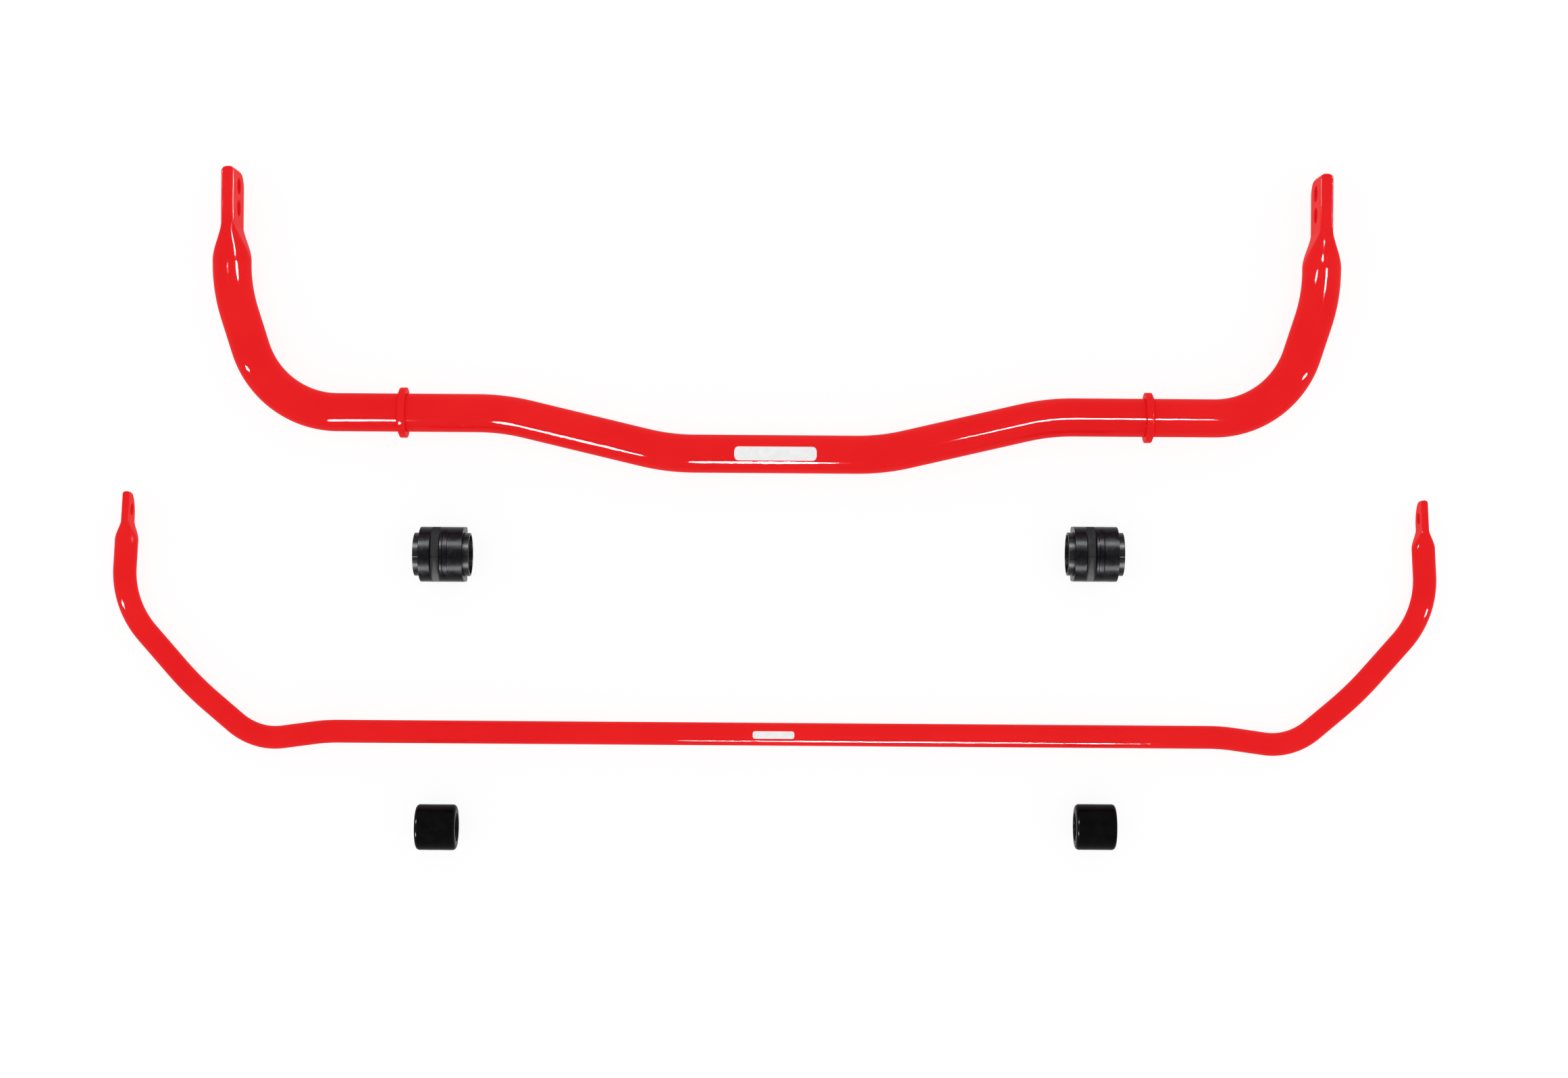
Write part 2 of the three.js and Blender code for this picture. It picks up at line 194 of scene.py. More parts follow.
def noise_node(tree, scale, detail=3.0, roughness=0.5, stretch=(1, 1, 1)):
    """Noise in metres on the piece itself, `scale` to the metre."""
    place = tree.nodes.new("ShaderNodeTexCoord")
    mapping = tree.nodes.new("ShaderNodeMapping")
    mapping.inputs["Scale"].default_value = stretch
    texture = tree.nodes.new("ShaderNodeTexNoise")
    texture.inputs["Scale"].default_value = scale
    texture.inputs["Detail"].default_value = detail
    texture.inputs["Roughness"].default_value = roughness
    tree.links.new(place.outputs["Object"], mapping.inputs["Vector"])
    tree.links.new(mapping.outputs["Vector"], texture.inputs["Vector"])
    return texture.outputs["Fac"]


def ramp(tree, value, stops):
    node = tree.nodes.new("ShaderNodeValToRGB")
    first, last = node.color_ramp.elements
    first.position, first.color = stops[0][0], (*stops[0][1], 1)
    last.position, last.color = stops[-1][0], (*stops[-1][1], 1)
    for position, colour in stops[1:-1]:
        node.color_ramp.elements.new(position).color = (*colour, 1)
    tree.links.new(value, node.inputs["Fac"])
    return node.outputs["Color"]


def spread(tree, value, low, high):
    node = tree.nodes.new("ShaderNodeMapRange")
    node.inputs["From Min"].default_value = NOISE_LOW
    node.inputs["From Max"].default_value = NOISE_HIGH
    node.inputs["To Min"].default_value = low
    node.inputs["To Max"].default_value = high
    tree.links.new(value, node.inputs["Value"])
    return node.outputs["Result"]


def bump(tree, value, depth, strength=1.0, normal=None):
    node = tree.nodes.new("ShaderNodeBump")
    node.inputs["Strength"].default_value = strength
    node.inputs["Distance"].default_value = depth
    tree.links.new(value, node.inputs["Height"])
    if normal is not None:
        tree.links.new(normal, node.inputs["Normal"])
    return node.outputs["Normal"]


def red_powder_coat():
    """Gloss powder coat: faint orange peel of a few millimetres, slight tone changes, dust specks."""
    material, tree, shader = node_material("red_powder_coat")
    tone = noise_node(tree, 16, 4)
    colour = ramp(tree, tone, [(0.3, (0.83, 0.0095, 0.0115)), (0.7, (0.87, 0.0125, 0.0140))])
    tree.links.new(colour, shader.inputs["Base Color"])
    tree.links.new(spread(tree, noise_node(tree, 140, 3), 0.42, 0.54), shader.inputs["Roughness"])
    peel = bump(tree, noise_node(tree, 260, 2), 0.00002, 0.04)
    grit = bump(tree, noise_node(tree, 2600, 2, 0.7), 0.000004, 0.2, peel)
    tree.links.new(grit, shader.inputs["Normal"])
    tree.links.new(peel, shader.inputs["Coat Normal"])
    shader.inputs["Specular IOR Level"].default_value = 0.0
    shader.inputs["Coat Weight"].default_value = 0.13
    shader.inputs["Coat Roughness"].default_value = 0.03
    return material


def point_value(tree, name):
    """A value kept at the points of the mesh."""
    node = tree.nodes.new("ShaderNodeAttribute")
    node.attribute_name = name
    return node.outputs["Fac"]


def blend_colour(tree, share, first, second):
    node = tree.nodes.new("ShaderNodeMix")
    node.data_type = "RGBA"
    tree.links.new(share, node.inputs["Factor"])
    tree.links.new(first, node.inputs["A"])
    node.inputs["B"].default_value = (*second, 1)
    return node.outputs["Result"]


def bush_rubber():
    """Moulded rubber with an oily speckle; matt and painted a flat darker shade on the groove's floor,
    with a painted light grey highlight where it runs out.
    """
    material, tree, shader = node_material("bush_rubber")
    floor = point_value(tree, GROOVE_MATT_AND_SHADE)
    speckle = noise_node(tree, 1300, 4, 0.7)
    patches = noise_node(tree, 170, 3, 0.6)
    colour = ramp(tree, speckle, [
        (0.34, (0.0012, 0.0010, 0.0022)), (0.54, (0.0030, 0.0027, 0.0054)), (0.74, (0.014, 0.013, 0.022)),
    ])
    # painted shade: the groove's floor gets a flat darker tone
    colour = blend_colour(tree, floor, colour, (0.0028, 0.0028, 0.0030))
    # painted highlight: a light grey wedge in the groove
    colour = blend_colour(tree, point_value(tree, GROOVE_HIGHLIGHT), colour, (0.15, 0.15, 0.15))
    tree.links.new(colour, shader.inputs["Base Color"])
    gloss = spread(tree, patches, 0.2, 0.36)
    matt = tree.nodes.new("ShaderNodeMath")
    matt.operation = "MULTIPLY_ADD"
    matt.inputs[1].default_value = 0.5
    tree.links.new(floor, matt.inputs[0])
    tree.links.new(gloss, matt.inputs[2])
    tree.links.new(matt.outputs["Value"], shader.inputs["Roughness"])
    flow = bump(tree, patches, 0.00012, 0.25)
    grain = bump(tree, speckle, 0.00003, 0.35, flow)
    tree.links.new(grain, shader.inputs["Normal"])
    shader.inputs["Specular IOR Level"].default_value = 0.06
    return material


def rear_rubber():
    """Smooth turned rubber, glossy black, with faint rings round it."""
    material, tree, shader = node_material("rear_rubber")
    tone = noise_node(tree, 120, 4)
    colour = ramp(tree, tone, [(0.3, (0.0008, 0.0008, 0.0009)), (0.7, (0.0026, 0.0026, 0.0028))])
    tree.links.new(colour, shader.inputs["Base Color"])
    tree.links.new(spread(tree, tone, 0.22, 0.38), shader.inputs["Roughness"])
    rings = bump(tree, noise_node(tree, 500, 3, 0.6, (6, 0.6, 0.6)), 0.00003, 0.35)
    tree.links.new(rings, shader.inputs["Normal"])
    shader.inputs["Specular IOR Level"].default_value = 0.01
    shader.inputs["Coat Weight"].default_value = 0.06
    shader.inputs["Coat Roughness"].default_value = 0.08
    return material


def liner_plastic():
    """Satin black liner with drawing marks along it."""
    material, tree, shader = node_material("liner_plastic")
    marks = noise_node(tree, 900, 3, 0.6, (0.12, 1, 1))
    colour = ramp(tree, marks, [(0.3, (0.004, 0.004, 0.005)), (0.7, (0.014, 0.014, 0.016))])
    tree.links.new(colour, shader.inputs["Base Color"])
    tree.links.new(spread(tree, marks, 0.2, 0.36), shader.inputs["Roughness"])
    tree.links.new(bump(tree, marks, 0.00003, 0.4), shader.inputs["Normal"])
    shader.inputs["Specular IOR Level"].default_value = 0.1
    return material


def white_film():
    """A blank white film label, slightly uneven."""
    material, tree, shader = node_material("white_film")
    tone = noise_node(tree, 180, 3)
    colour = ramp(tree, tone, [(0.3, (0.86, 0.86, 0.86)), (0.7, (0.93, 0.93, 0.93))])
    tree.links.new(colour, shader.inputs["Base Color"])
    tree.links.new(spread(tree, tone, 0.28, 0.4), shader.inputs["Roughness"])
    tree.links.new(bump(tree, noise_node(tree, 700, 2), 0.00002, 0.3), shader.inputs["Normal"])
    return material


RED = red_powder_coat()
RUBBER = bush_rubber()
REAR_RUBBER = rear_rubber()
LINER = liner_plastic()
FILM = white_film()

# ---------------------------------------------------------------- mesh helpers


def shade(mesh, sharp_angle):
    mesh.shade_smooth()
    mesh.set_sharp_from_angle(angle=sharp_angle)


def mesh_object(name, mesh, material):
    mesh.materials.clear()
    mesh.materials.append(material)
    shade(mesh, PIECE_SHARP)
    piece = bpy.data.objects.new(name, mesh)
    bpy.context.scene.collection.objects.link(piece)
    return piece


def loop_mesh(name, loops, closed_along=False):
    """A mesh through equal loops of points: a tube with closed ends, or a ring."""
    build = bmesh.new()
    rows = [[build.verts.new(point) for point in loop] for loop in loops]
    sides = len(rows[0])
    pairs = list(zip(rows, rows[1:]))
    if closed_along:
        pairs.append((rows[-1], rows[0]))
    for row, after in pairs:
        for i in range(sides):
            j = (i + 1) % sides
            build.faces.new((row[i], row[j], after[j], after[i]))
    if not closed_along:
        build.faces.new(rows[0])
        build.faces.new(rows[-1])
    bmesh.ops.recalc_face_normals(build, faces=build.faces)
    mesh = bpy.data.meshes.new(name)
    build.to_mesh(mesh)
    build.free()
    return mesh


def ring_mesh(name, profile, centre):
    """A ring round the X axis through `centre`, from a closed profile of (along X, radius)."""
    loops = []
    for i in range(RING_SIDES):
        angle = 2 * math.pi * i / RING_SIDES
        across = Vector((0, math.cos(angle), math.sin(angle)))
        loops.append([centre + Vector((along, 0, 0)) + across * radius for along, radius in profile])
    return loop_mesh(name, loops, closed_along=True)


def rounded_tube_profile(half, inner, outer, outer_round, inner_round):
    """The section of a tube's wall with rounded edges, as (along X, radius) points."""
    corners = [
        (-half, outer, outer_round, math.pi), (half, outer, outer_round, math.pi / 2),
        (half, inner, inner_round, 0.0), (-half, inner, inner_round, -math.pi / 2),
    ]
    points = []
    for along, radius, round_radius, start in corners:
        middle_along = along - math.copysign(round_radius, along)
        middle_radius = radius - math.copysign(round_radius, radius - (inner + outer) / 2)
        for i in range(ROUND_STEPS + 1):
            angle = start - i / ROUND_STEPS * math.pi / 2
            points.append((middle_along + round_radius * math.cos(angle),
                           middle_radius + round_radius * math.sin(angle)))
    return points


def apply_modifiers(piece):
    bpy.context.view_layer.update()
    shape = piece.evaluated_get(bpy.context.evaluated_depsgraph_get())
    mesh = bpy.data.meshes.new_from_object(shape)
    piece.modifiers.clear()
    old = piece.data
    piece.data = mesh
    bpy.data.meshes.remove(old)


def cut(piece, cutters):
    """Takes the cutters away from the piece for good."""
    for cutter in cutters:
        modifier = piece.modifiers.new("cut", "BOOLEAN")
        modifier.operation = "DIFFERENCE"
        modifier.solver = "EXACT"
        modifier.object = cutter
    apply_modifiers(piece)
    for cutter in cutters:
        bpy.data.objects.remove(cutter)


def even_normals(piece):
    """Keeps the big flat faces flat where they meet rounds."""
    modifier = piece.modifiers.new("normals", "WEIGHTED_NORMAL")
    modifier.keep_sharp = True
    apply_modifiers(piece)


def finish_piece(piece, body, slot, *nodes):
    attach(piece, body)
    if nodes:
        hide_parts(*nodes)


# ---------------------------------------------------------------- a bar's centre line


def bend_tangent(radius, angle):
    return radius * math.tan(angle / 2)


def mirrored(right_half):
    left = [(Vector((-p.x, p.y, p.z)), radius) for p, radius in right_half]
    return left[::-1] + right_half


class CentreLine:
    """Straights and round bends through corners, as (length, place at a distance) stretches."""

    def __init__(self, corners):
        self.stretches = []
        start = corners[0][0]
        for (before_point, _), (point, radius), (after_point, _) in zip(
            corners, corners[1:], corners[2:]
        ):
            before = (point - before_point).normalized()
            after = (after_point - point).normalized()
            angle = before.angle(after)
            tangent = bend_tangent(radius, angle)
            bend_start = point - before * tangent
            self.add_straight(start, bend_start)
            self.add_bend(bend_start, before, after, radius, angle)
            start = point + after * tangent
        self.add_straight(start, corners[-1][0])
        self.length = sum(stretch[0] for stretch in self.stretches)

    def add_straight(self, start, end):
        direction = (end - start).normalized()
        self.stretches.append(((end - start).length, lambda s: (start + direction * s, direction), 0))

    def add_bend(self, start, before, after, radius, angle):
        normal = (after - before * after.dot(before)).normalized()

        def place(s):
            turned = s / radius
            point = start + before * (radius * math.sin(turned))
            point += normal * (radius * (1 - math.cos(turned)))
            return point, before * math.cos(turned) + normal * math.sin(turned)

        self.stretches.append((radius * angle, place, angle))

    def place(self, along):
        """The point there, with the directions across (level) and up."""
        for length, place, _ in self.stretches:
            if along <= length or (length, place) == self.stretches[-1][:2]:
                point, tangent = place(along)
                side = Vector((0, 0, 1)).cross(tangent).normalized()
                return point, side, tangent.cross(side)
            along -= length

    def steps(self):
        """Distances at which the line gets a section for its bends."""
        found = [0.0]
        start = 0.0
        for length, _, angle in self.stretches:
            count = max(1, math.ceil(angle / BEND_STEP))
            found += [start + length * i / count for i in range(1, count + 1)]
            start += length
        return found


def front_places():
    bar = FRONT_BAR
    eyelet_length = FRONT_EYELET["flat_length"] + FRONT_EYELET["neck_length"]
    bend_up = bar["reach"] - eyelet_length - bend_tangent(bar["arm_bend_radius"], bar["arm_lean"])
    elbow = bar["half_span"] - bend_up * math.tan(bar["arm_lean"])
    elbow_tangent = bend_tangent(bar["elbow_radius"], math.pi / 2 - bar["arm_lean"])
    ring = elbow - elbow_tangent - bar["ring_to_elbow"]
    seat = bar["seat_margin"] + FRONT_BUSH["liner_length"] + END_GAP + COLLAR["width"] / 2
    jog_angle = math.atan2(bar["jog_drop"], bar["jog_run"])
    shoulder = ring - seat - bend_tangent(bar["jog_radius"], jog_angle)
    return bend_up, elbow, shoulder, shoulder - bar["jog_run"]


def front_line():
    bar = FRONT_BAR
    bend_up, elbow, shoulder, jog = front_places()

    def at(x, y):
        return Vector((x, FRONT_Y + y, FRONT_HEIGHT))

    return CentreLine(mirrored([
        (at(jog, -bar["jog_drop"]), bar["jog_radius"]),
        (at(shoulder, 0), bar["jog_radius"]),
        (at(elbow, 0), bar["elbow_radius"]),
        (at(bar["half_span"], bend_up), bar["arm_bend_radius"]),
        (at(bar["half_span"], bar["reach"]), 0),
    ]))


def rear_line():
    bar = REAR_BAR
    elbow_height = bar["diameter"] / 2
    tip_height = max(REAR_EYELET["width"], bar["diameter"]) / 2
    turn = math.pi / 2 - bar["upper_slant"] + bar["arm_lean"]
    arm_end = REAR_EYELET["flat_length"] + REAR_EYELET["neck_length"] + bar["arm_top"]
    bend_up = bar["reach"] - arm_end - bend_tangent(bar["arm_bend_radius"], turn)
    slant = bar["half_span"] - (bend_up - bar["slant_bend_up"]) / math.tan(bar["upper_slant"])
    elbow = slant - (bar["slant_bend_up"] + bar["elbow_drop"]) / math.tan(bar["lower_slant"])
    tip = bar["half_span"] - (bar["reach"] - bend_up) * math.tan(bar["arm_lean"])

    def at(x, y, z):
        return Vector((x, REAR_Y + y, z))

    return CentreLine(mirrored([
        (at(elbow - bar["jog_run"], 0, REAR_HEIGHT), bar["jog_radius"]),
        (at(elbow, -bar["elbow_drop"], elbow_height), bar["elbow_radius"]),
        (at(slant, bar["slant_bend_up"], (elbow_height + tip_height) / 2), bar["slant_bend_radius"]),
        (at(bar["half_span"], bend_up, tip_height), bar["arm_bend_radius"]),
        (at(tip, bar["reach"], tip_height), 0),
    ]))


# ---------------------------------------------------------------- a bar's body


def taken_off(corner, from_tip):
    """How much a quarter ellipse (along, across) takes off, that far from the tip."""
    along, across = corner
    if from_tip >= along:
        return 0.0
    left = 1 - from_tip / along
    return across * (1 - math.sqrt(1 - left * left))


def eyelet_steps(eyelet):
    """Distances from the tip at which an eyelet and its neck get a section."""
    found = {0.0, eyelet["flat_length"]}
    for round_length in (eyelet["edge_round"], eyelet["lower_corner"][0]):
        for i in range(1, TIP_STEPS + 1):
            found.add(round_length * (1 - math.cos(i / TIP_STEPS * math.pi / 2)))
    for i in range(1, NECK_STEPS + 1):
        found.add(eyelet["flat_length"] + eyelet["neck_length"] * i / NECK_STEPS)
    return sorted(found)


def rounded_section(half_thickness, bottom, top, corner, sides):
    """A rounded rectangle as (across, up) points, the same number on each quarter."""
    quarter = sides // 4
    corner = min(corner, half_thickness, (top - bottom) / 2)
    centres = [
        (half_thickness - corner, top - corner), (corner - half_thickness, top - corner),
        (corner - half_thickness, bottom + corner), (half_thickness - corner, bottom + corner),
    ]
    points = []
    for i, (across, up) in enumerate(centres):
        for k in range(quarter):
            angle = (i + (k + 0.5) / quarter) * math.pi / 2
            points.append((across + corner * math.cos(angle), up + corner * math.sin(angle)))
    return points


def bar_section(bar, eyelet, from_tip, sides):
    """Flat and rectangular at the eyelet, round beyond the neck; the flat ends in a crease."""
    radius = bar["diameter"] / 2
    share = (from_tip - eyelet["flat_length"]) / eyelet["neck_length"]
    share = min(1.0, max(0.0, share))
    swell = 0.5 * math.sin(share * math.pi / 2) + 0.5 * share * share * (3 - 2 * share)
    smooth = share * share * (3 - 2 * share)
    flat = eyelet["thickness"] / 2 - taken_off((eyelet["edge_round"],) * 2, from_tip)
    half_thickness = flat + (radius - flat) * swell
    top = eyelet["width"] / 2 - taken_off(eyelet["upper_corner"], from_tip)
    bottom = -eyelet["width"] / 2 + taken_off(eyelet["lower_corner"], from_tip)
    top += (radius - top) * smooth
    bottom += (-radius - bottom) * smooth
    edge = eyelet["thickness"] * EYELET_EDGE
    corner = edge + (radius - edge) * share ** CORNER_GROWTH
    if share >= 1:
        corner = radius
    return rounded_section(half_thickness, bottom, top, corner, sides)


def bar_mesh(name, line, bar, eyelet, sides):
    distances = line.steps()
    for step in eyelet_steps(eyelet):
        distances += [step, line.length - step]
    distances.sort()
    kept = [distances[0]]
    for distance in distances[1:]:
        if distance - kept[-1] > SAME_PLACE:
            kept.append(distance)
    kept[-1] = line.length
    loops = []
    for distance in kept:
        point, side, up = line.place(distance)
        from_tip = min(distance, line.length - distance)
        section = bar_section(bar, eyelet, from_tip, sides)
        loops.append([point + side * across + up * rise for across, rise in section])
    return loop_mesh(name, loops)


def hole_cutter(line, along, eyelet):
    """A pin that flares where it leaves the eyelet's faces, so the hole's rims are broken."""
    point, side, _ = line.place(along)
    half = eyelet["thickness"] / 2
    radius = eyelet["hole_diameter"] / 2
    rim = HOLE_RIM * eyelet["hole_diameter"]
    profile = [
        (-2 * half, radius + rim + half), (-half, radius + rim), (-half + rim, radius),
        (half - rim, radius), (half, radius + rim), (2 * half, radius + rim + half),
    ]
    turn = Vector((1, 0, 0)).rotation_difference(side).to_matrix()
    loops = []
    for across, size in profile:
        loop = []
        for i in range(HOLE_SIDES):
            angle = 2 * math.pi * i / HOLE_SIDES
            flat = Vector((across, size * math.cos(angle), size * math.sin(angle)))
            loop.append(point + turn @ flat)
        loops.append(loop)
    mesh = loop_mesh("cutter", loops)
    return mesh_object("cutter", mesh, RED)


def make_bar(name, line, bar, eyelet):
    piece = mesh_object(name, bar_mesh(name, line, bar, eyelet, BAR_SIDES), RED)
    cutters = []
    for from_tip in eyelet["holes_from_tip"]:
        cutters.append(hole_cutter(line, from_tip, eyelet))
        cutters.append(hole_cutter(line, line.length - from_tip, eyelet))
    cut(piece, cutters)
    shade(piece.data, BAR_SHARP)
    even_normals(piece)
    return piece


def make_label(name, line, bar, size, body):
    """A blank label bent round the bar at its middle."""
    length, height = size
    radius = bar["diameter"] / 2 + LABEL_LIFT
    point, side, up = line.place(line.length / 2)
    corner = height * LABEL_CORNER
    build = bmesh.new()
    grid = []
    for i in range(LABEL_COLUMNS + 1):
        along = (i / LABEL_COLUMNS - 0.5) * length
        inset = max(0.0, abs(along) - (length / 2 - corner))
        half = height / 2 - (corner - math.sqrt(max(0.0, corner ** 2 - inset ** 2)))
        column = []
        for j in range(LABEL_ROWS + 1):
            angle = (2 * j / LABEL_ROWS - 1) * half / radius
            place = point + Vector((along, 0, 0))
            column.append(build.verts.new(place + side * radius * math.sin(angle)
                                          + up * radius * math.cos(angle)))
        grid.append(column)
    for i in range(LABEL_COLUMNS):
        for j in range(LABEL_ROWS):
            build.faces.new((grid[i][j], grid[i + 1][j], grid[i + 1][j + 1], grid[i][j + 1]))
    bmesh.ops.recalc_face_normals(build, faces=build.faces)
    bmesh.ops.solidify(build, geom=build.faces[:], thickness=LABEL_THICKNESS)
    bmesh.ops.recalc_face_normals(build, faces=build.faces)
    mesh = bpy.data.meshes.new(name)
    build.to_mesh(mesh)
    build.free()
    finish_piece(mesh_object(name, mesh, FILM), body, "red_powder_coat")


# ---------------------------------------------------------------- the other pieces


def make_ring_piece(name, node, material, profile):
    return mesh_object(name, ring_mesh(name, profile, middle(node)), material)


def collar_profile(outboard):
    """A stop ring's section: a slant on the outboard side (-1 left, 1 right), square inboard."""
    half = COLLAR["width"] / 2
    edge = COLLAR["edge_round"]
    rise = [(half, COLLAR_INNER), (half, COLLAR_INNER + COLLAR["foot"])]
    for i in range(ROUND_STEPS + 1):
        turned = i / ROUND_STEPS * math.pi / 2
        rise.append((half - COLLAR["slant"] + edge * (math.cos(turned) - 1),
                     COLLAR_OUTER + edge * (math.sin(turned) - 1)))
    square = 0.3 * edge
    for i in range(ROUND_STEPS + 1):
        turned = i / ROUND_STEPS * math.pi / 2
        rise.append((-half + square * (1 - math.sin(turned)),
                     COLLAR_OUTER + square * (math.cos(turned) - 1)))
    rise.append((-half, COLLAR_INNER))
    return [(outboard * along, radius) for along, radius in rise]


def make_collar(side):
    node = f"front_collar_{side}"
    profile = collar_profile(-1 if side == "left" else 1)
    piece = make_ring_piece(f"stop_ring_{side}", node, RED, profile)
    finish_piece(piece, "front_bar", "red_powder_coat", node)


def slit_cutter(bush, centre, length, reach):
    """The thin cut through one wall, from the bore outwards; `reach` is down if below zero."""
    half = bush["slit_width"] / 2
    y = centre.y + bush["slit_side"]
    low, high = sorted((centre.z, centre.z + reach))
    loops = []
    for x in (centre.x - length, centre.x + length):
        loops.append([Vector((x, y - half, low)), Vector((x, y + half, low)),
                      Vector((x, y + half, high)), Vector((x, y - half, high))])
    return mesh_object("cutter", loop_mesh("cutter", loops), RUBBER)


def bush_centre(node, bush, bar, flat_base):
    """The middle of a bush's bore; a front bush's box is taller above it than below."""
    low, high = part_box(node)
    inner, outer = bush_radii(bush, bar)
    height = inner + bush["base_wall"] if flat_base else outer
    return Vector(((low.x + high.x) / 2, (low.y + high.y) / 2, low.z + height))


def finish_slit_piece(piece, cutter):
    cut(piece, [cutter])
    shade(piece.data, SLIT_SHARP)
    even_normals(piece)


def make_liner(name, node, bush, bar, length, reach):
    centre = middle(node)
    inner, outer = liner_radii(bush, bar)
    profile = rounded_tube_profile(length / 2, inner, outer, 0.5 * MM, 0.3 * MM)
    piece = make_ring_piece(name, node, LINER, profile)
    finish_slit_piece(piece, slit_cutter(bush, centre, length, reach))
    finish_piece(piece, node, "liner_plastic", node)


def rear_bush_profile():
    inner, outer = bush_radii(REAR_BUSH, REAR_BAR)
    half = REAR_BUSH["length"] / 2
    return rounded_tube_profile(half, inner, outer, REAR_BUSH["end_round"], 0.6 * MM)


def make_rear_bush(side):
    node = f"rear_bush_{side}"
    centre = bush_centre(node, REAR_BUSH, REAR_BAR, flat_base=False)
    mesh = ring_mesh(f"rear_block_{side}", rear_bush_profile(), centre)
    piece = mesh_object(f"rear_block_{side}", mesh, REAR_RUBBER)
    reach = -2 * bush_radii(REAR_BUSH, REAR_BAR)[1]
    finish_slit_piece(piece, slit_cutter(REAR_BUSH, centre, REAR_BUSH["length"], reach))
    finish_piece(piece, node, "bush_rubber", node)


def front_outline(angle):
    """The front bush's outline that way from the bore's axis: (point, outward normal).

    Round over the top, straight down the sides, flat at the base with rounded corners.
    """
    inner, half = bush_radii(FRONT_BUSH, FRONT_BAR)
    base = inner + FRONT_BUSH["base_wall"]
    corner = FRONT_BUSH["base_corner"]
    direction = Vector((math.cos(angle), math.sin(angle)))
    if direction.y >= 0:
        return direction * half, direction
    to_side = half / abs(direction.x) if abs(direction.x) > 1e-9 else math.inf
    to_base = base / -direction.y
    point = direction * min(to_side, to_base)
    normal = Vector((math.copysign(1, direction.x), 0)) if to_side < to_base else Vector((0, -1))
    centre = Vector((math.copysign(half - corner, direction.x), corner - base))
    if abs(point.x) > abs(centre.x) and point.y < centre.y:
        along = direction.dot(centre)
        reach = along + math.sqrt(along ** 2 - centre.length_squared + corner ** 2)
        point = direction * reach
        normal = (point - centre).normalized()
    return point, normal


def groove_depth(along, groove, edge):
    """How deep a groove is at that distance along the bush, with rolled shoulders."""
    start, width, depth = groove
    inside = min(along - start, start + width - along)
    share = min(1.0, max(0.0, (inside + edge / 2) / edge))
    return depth * share * share * (3 - 2 * share)


def groove_shade_and_highlight(along, angle):
    """How much a point is groove floor (made matt and painted darker), and how much painted highlight it
    gets: a wedge that widens to the front.
    """
    start, width, _ = FRONT_BUSH["groove"]
    inside = min(along - start, start + width - along)
    floor = min(1.0, max(0.0, inside / FLOOR_EDGE))
    if math.sin(angle) < 0:
        return floor * max(0.0, 1 + 4 * math.sin(angle)), 0.0
    # the painted highlight is brightest where the skin faces the front
    forward = max(0.0, -math.cos(angle))
    wedge = width / 2 * forward ** 0.8 - abs(along - start - width / 2)
    dust = min(1.0, max(0.0, wedge / GROOVE_HIGHLIGHT_EDGE)) * forward ** 1.5
    return floor, dust


def front_bush_loops(centre):
    """Loops round the bore's axis: out along the outer skin, back along the bore."""
    length = FRONT_BUSH["length"]
    edge = FRONT_BUSH["edge_round"]
    inner, _ = bush_radii(FRONT_BUSH, FRONT_BAR)
    fade_floor = math.cos(FRONT_BUSH["groove_fade"])
    stations = []
    for i in range(ROUND_STEPS + 1):
        turned = i / ROUND_STEPS * math.pi / 2
        stations.append((edge * (1 - math.cos(turned)), edge * (1 - math.sin(turned))))
    body = [(edge + (length - 2 * edge) * i / BUSH_STATIONS, 0.0) for i in range(1, BUSH_STATIONS)]
    stations = stations + body + [(length - a, inset) for a, inset in reversed(stations)]
    loops = []
    values = []
    for i in range(RING_SIDES):
        angle = 2 * math.pi * i / RING_SIDES
        point, normal = front_outline(angle)
        fade = max(0.0, (math.sin(angle) - fade_floor) / (1 - fade_floor))
        column = []
        for along, inset in stations:
            depth = groove_depth(along, FRONT_BUSH["groove"], GROOVE_SHOULDER)
            depth += groove_depth(along, FRONT_BUSH["recess"], RECESS_SHOULDER)
            skin = point - normal * (inset + depth * fade)
            column.append(centre + Vector((along - length / 2, skin.x, skin.y)))
            values.append(groove_shade_and_highlight(along, angle))
        bore = Vector((0, math.cos(angle), math.sin(angle)))
        for along, widen in ((length, BORE_RIM), (length - BORE_RIM, 0.0),
                             (length / 2, 0.0), (BORE_RIM, 0.0), (0.0, BORE_RIM)):
            column.append(centre + Vector((along - length / 2, 0, 0)) + bore * (inner + widen))
            values.append((0.0, 0.0))
        loops.append(column)
    return loops, values


def make_front_bush(side):
    node = f"front_bush_{side}"
    centre = bush_centre(node, FRONT_BUSH, FRONT_BAR, flat_base=True)
    loops, values = front_bush_loops(centre)
    mesh = loop_mesh(f"front_block_{side}", loops, closed_along=True)
    # keeps the groove floor's share (matt and painted shade) and the painted highlight at the points
    for name, column in ((GROOVE_MATT_AND_SHADE, 0), (GROOVE_HIGHLIGHT, 1)):
        kept = mesh.attributes.new(name, "FLOAT", "POINT")
        kept.data.foreach_set("value", [value[column] for value in values])
    piece = mesh_object(f"front_block_{side}", mesh, RUBBER)
    reach = 2 * bush_radii(FRONT_BUSH, FRONT_BAR)[1]
    finish_slit_piece(piece, slit_cutter(FRONT_BUSH, centre, FRONT_BUSH["length"], reach))
    finish_piece(piece, node, "bush_rubber", node)



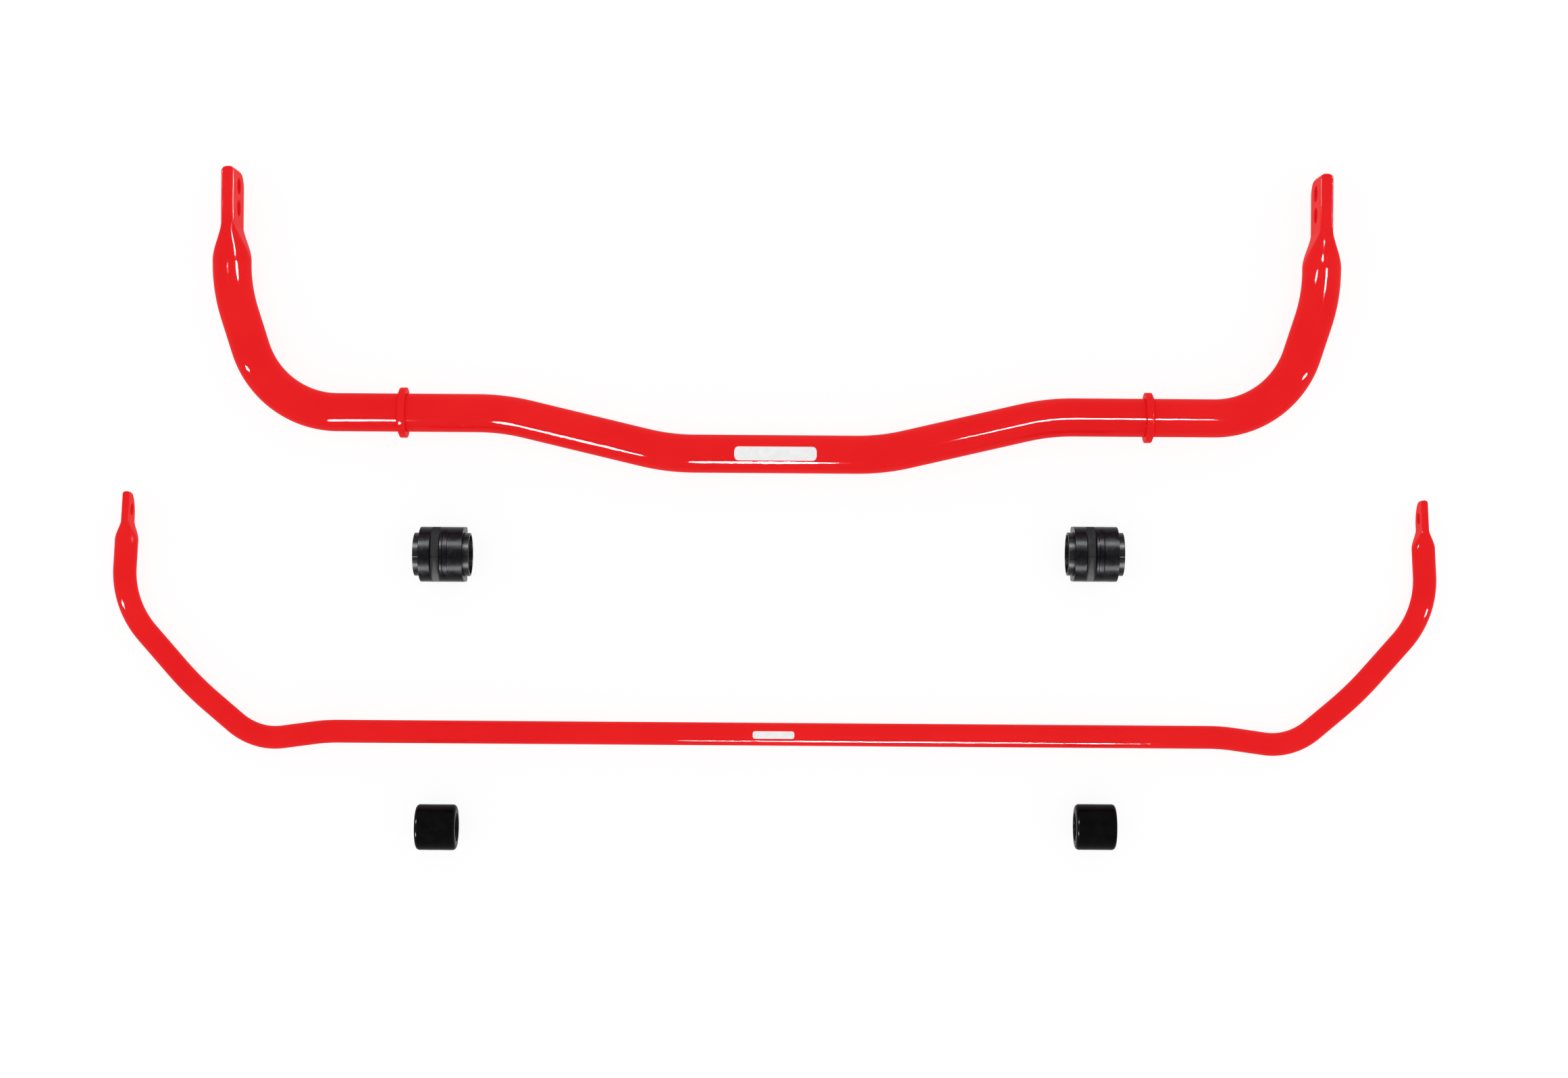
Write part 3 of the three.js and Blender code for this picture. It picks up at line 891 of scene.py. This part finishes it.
def make_kit():
    front = front_line()
    rear = rear_line()
    front_bar = make_bar("front_bar_coated", front, FRONT_BAR, FRONT_EYELET)
    finish_piece(front_bar, "front_bar", "red_powder_coat", "front_bar")
    rear_bar = make_bar("rear_bar_coated", rear, REAR_BAR, REAR_EYELET)
    finish_piece(rear_bar, "rear_bar", "red_powder_coat", "rear_bar")
    make_label("front_label", front, FRONT_BAR, FRONT_LABEL, "front_bar")
    make_label("rear_label", rear, REAR_BAR, REAR_LABEL, "rear_bar")
    rear_liner_length = REAR_BUSH["length"] - 2 * REAR_BUSH["liner_recess"]
    for side in ("left", "right"):
        make_collar(side)
        make_front_bush(side)
        make_rear_bush(side)
        make_liner(f"front_sleeve_{side}", f"front_liner_{side}",
                   FRONT_BUSH, FRONT_BAR, FRONT_BUSH["liner_length"],
                   2 * bush_radii(FRONT_BUSH, FRONT_BAR)[1])
        make_liner(f"rear_sleeve_{side}", f"rear_liner_{side}",
                   REAR_BUSH, REAR_BAR, rear_liner_length,
                   -2 * bush_radii(REAR_BUSH, REAR_BAR)[1])


# ---------------------------------------------------------------- floor, light and camera


def make_floor():
    material, tree, shader = node_material("floor")
    tone = ramp(tree, noise_node(tree, 3, 2), [(0.3, (0.11, 0.11, 0.11)), (0.7, (0.12, 0.12, 0.12))])
    tree.links.new(tone, shader.inputs["Base Color"])
    shader.inputs["Roughness"].default_value = 0.9
    shader.inputs["Emission Color"].default_value = (1, 1, 1, 1)
    shader.inputs["Emission Strength"].default_value = 0.9
    shader.inputs["Specular IOR Level"].default_value = 0.0
    mesh = bpy.data.meshes.new("floor")
    reach = FLOOR_REACH
    mesh.from_pydata([(-reach, -reach, 0), (reach, -reach, 0), (reach, reach, 0), (-reach, reach, 0)],
                     [], [(0, 1, 2, 3)])
    mesh.materials.append(material)
    floor = bpy.data.objects.new("floor", mesh)
    bpy.context.scene.collection.objects.link(floor)
    floor.location.z = -FLOOR_DROP


def softbox(name, place, size, radiance, group):
    data = bpy.data.lights.new(name, "AREA")
    data.shape = "ELLIPSE"
    data.size, data.size_y = size
    data.energy = radiance * math.pi * size[0] * size[1] * math.pi / 4
    light = bpy.data.objects.new(name, data)
    light.location = place
    light.rotation_mode = "QUATERNION"
    light.rotation_quaternion = (-Vector(place)).to_track_quat("-Z", "Y")
    light.visible_diffuse = False
    bpy.context.scene.collection.objects.link(light)
    light.light_linking.receiver_collection = group


def light_group(name, prefixes):
    """The pieces whose names start so, as a collection that lamps can be kept to."""
    group = bpy.data.collections.new(name)
    for piece in bpy.context.scene.objects:
        if piece.name.startswith(prefixes):
            group.objects.link(piece)
    return group


def make_light():
    world = bpy.data.worlds.new("studio")
    world.use_nodes = True
    background = world.node_tree.nodes["Background"]
    background.inputs["Color"].default_value = (1, 1, 1, 1)
    background.inputs["Strength"].default_value = 0.95
    bpy.context.scene.world = world
    bpy.context.scene.view_settings.view_transform = "Standard"
    front = light_group("front", ("front_bar", "stop_ring"))
    rear = light_group("rear", ("rear_bar",))
    front_bushes = light_group("front_bushes", ("front_block", "front_sleeve"))
    rear_bushes = light_group("rear_bushes", ("rear_block", "rear_sleeve"))
    softbox("front_middle", (-0.05, -1.95, 1.45), (0.32, 0.6), BAR_GLOW, front)
    softbox("left_jog", (-0.82, -1.80, 1.45), (0.26, 0.55), BAR_GLOW, front)
    softbox("right_jog", (0.62, -0.34, 2.43), (0.26, 0.4), BAR_GLOW, front)
    softbox("left_arm", (-1.50, 0.62, 2.45), (0.14, 0.8), BAR_GLOW, front)
    softbox("right_arm", (1.45, 0.62, 2.45), (0.36, 0.8), BAR_GLOW, front)
    softbox("rear_middle", (0.25, -2.6, 0.85), (0.9, 0.4), BAR_GLOW, rear)
    for side in (-1, 1):
        softbox(f"far_{side}", (side * 2.9, -0.76, 1.4), (0.18, 0.8), BAR_GLOW, rear)
        softbox(f"far_front_{side}", (side * 2.9, -0.76, 1.4), (0.16, 0.8), BAR_GLOW, front)
        softbox(f"bush_back_{side}", (side * 1.5, 1.9, 1.7), (0.7, 0.7), FRONT_BUSH_GLOW, front_bushes)
        softbox(f"bush_front_{side}", (side * 1.5, -2.3, 1.2), (0.7, 0.7), FRONT_BUSH_GLOW, front_bushes)
    softbox("bush_back", (0, 2.0, 2.0), (3.6, 0.9), BACK_BAND_GLOW, front_bushes)
    softbox("bush_front", (0, -2.3, 1.3), (3.6, 0.9), FRONT_BAND_GLOW, front_bushes)
    softbox("rear_bush_back", (-2.6, 1.0, 1.5), (0.8, 0.8), REAR_BUSH_GLOW, rear_bushes)
    softbox("rear_bush_front", (-2.6, -1.6, 1.3), (0.8, 0.8), REAR_BUSH_GLOW, rear_bushes)


def make_camera():
    """Straight above the layout, turned by the small angle at which the bars lie in the view."""
    data = bpy.data.cameras.new("camera")
    data.lens = 60.2
    data.sensor_width = 36
    camera = bpy.data.objects.new("camera", data)
    camera.location = (0.0083, FRONT_Y - 0.11315, 2.423)
    camera.rotation_euler = (0, 0, math.radians(0.41))
    bpy.context.scene.collection.objects.link(camera)
    bpy.context.scene.camera = camera


make_camera()
make_kit()
make_floor()
make_light()
